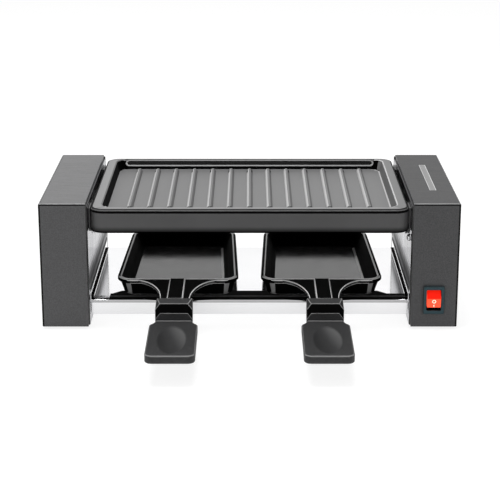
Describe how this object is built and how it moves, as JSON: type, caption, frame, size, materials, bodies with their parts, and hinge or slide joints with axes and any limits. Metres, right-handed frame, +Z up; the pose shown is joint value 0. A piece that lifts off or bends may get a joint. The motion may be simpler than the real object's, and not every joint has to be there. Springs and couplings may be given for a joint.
{
  "type": "raclette grill",
  "caption": "Table-top raclette grill: two upright towers, ribbed lift-off grill plate above, serpentine heater, and small handled pans on a polished base below, with a rocker switch.",
  "frame": {"origin": "on the surface that the feet stand on, under the middle of the whole outline with the pan handles", "axes": "+X across the towers, to the switch's side; +Y from the pan handles to the back; +Z up"},
  "size_m": [0.3, 0.2676, 0.0941],
  "materials": {
    "case_paint": "satin charcoal paint",
    "cover_paint": "matt black paint",
    "polished_steel": "mirror-polished sheet steel",
    "bright_steel": "bright zinc-plated or plain steel",
    "black_enamel": "heat-proof black coating",
    "plate_coating": "cast aluminium with a satin black non-stick coating",
    "pan_coating": "sheet steel with a glossy black non-stick coating",
    "handle_plastic": "matt black thermoset plastic",
    "heater_steel": "heat-tinted stainless sheath",
    "ceramic": "off-white glazed ceramic",
    "foot_rubber": "matt black rubber",
    "switch_plastic": "black moulded plastic",
    "rocker_red": "glossy translucent red plastic",
    "terminal_brass": "plain brass",
    "badge_metal": "satin aluminium",
    "wire_brown": "brown silicone sleeve",
    "wire_blue": "blue silicone sleeve",
    "wire_earth": "green and yellow silicone sleeve"
  },
  "bodies": {
    "body": {"badge_strip": "badge_metal", "base_plate": "polished_steel", "bottom_cover_left": "cover_paint", "bottom_cover_right": "cover_paint", "casing_left": "case_paint", "casing_right": "case_paint", "casing_screw_back_left": "bright_steel", "casing_screw_back_right": "bright_steel", "casing_screw_front_left": "bright_steel", "casing_screw_front_right": "bright_steel", "cord_gland": "switch_plastic", "cutout_plate": "bright_steel", "cutout_terminal_back": "terminal_brass", "cutout_terminal_front": "terminal_brass", "earth_nut": "bright_steel", "earth_screw": "bright_steel", "earth_tag": "terminal_brass", "foot_back_left": "foot_rubber", "foot_back_right": "foot_rubber", "foot_front_left": "foot_rubber", "foot_front_right": "foot_rubber", "heater_bush_back": "bright_steel", "heater_bush_front": "bright_steel", "heater_holder": "bright_steel", "heater_pin_back": "bright_steel", "heater_pin_front": "bright_steel", "heater_strap_back": "bright_steel", "heater_strap_front": "bright_steel", "heater_tube": "heater_steel", "pin_insulator_back": "ceramic", "pin_insulator_front": "ceramic", "plate_support_back_left": "black_enamel", "plate_support_back_right": "black_enamel", "plate_support_front_left": "black_enamel", "plate_support_front_right": "black_enamel", "rear_screw_lower_left": "bright_steel", "rear_screw_lower_right": "bright_steel", "rear_screw_upper_left": "bright_steel", "rear_screw_upper_right": "bright_steel", "side_plate_left": "polished_steel", "side_plate_right": "polished_steel", "switch_housing": "switch_plastic", "switch_terminal_lower": "terminal_brass", "switch_terminal_upper": "terminal_brass", "terminal_block": "ceramic", "thermal_cutout": "switch_plastic", "wire_earth": "wire_earth", "wire_heater": "wire_brown", "wire_live": "wire_brown", "wire_neutral": "wire_blue", "wire_switched": "wire_brown"},
    "plate": {"grill_plate": "plate_coating"},
    "left_pan": {"pan_left": "pan_coating", "handle_left": "handle_plastic", "handle_screw_left": "bright_steel"},
    "right_pan": {"pan_right": "pan_coating", "handle_right": "handle_plastic", "handle_screw_right": "bright_steel"},
    "rocker": {"switch_rocker": "rocker_red"}
  },
  "joints": [
    {"name": "plate_lift", "type": "slide", "parent": "body", "child": "plate", "axis": [0, 0, 1], "range_m": [0, 0.04]},
    {"name": "left_pan_slide", "type": "slide", "parent": "body", "child": "left_pan", "axis": [0, -1, 0], "range_m": [0, 0.14]},
    {"name": "right_pan_slide", "type": "slide", "parent": "body", "child": "right_pan", "axis": [0, -1, 0], "range_m": [0, 0.14]},
    {"name": "rocker_hinge", "type": "hinge", "parent": "body", "child": "rocker", "pos_m": [0.1326, -0.01825, 0.0225], "axis": [1, 0, 0], "range_deg": [0, 24]}
  ]
}
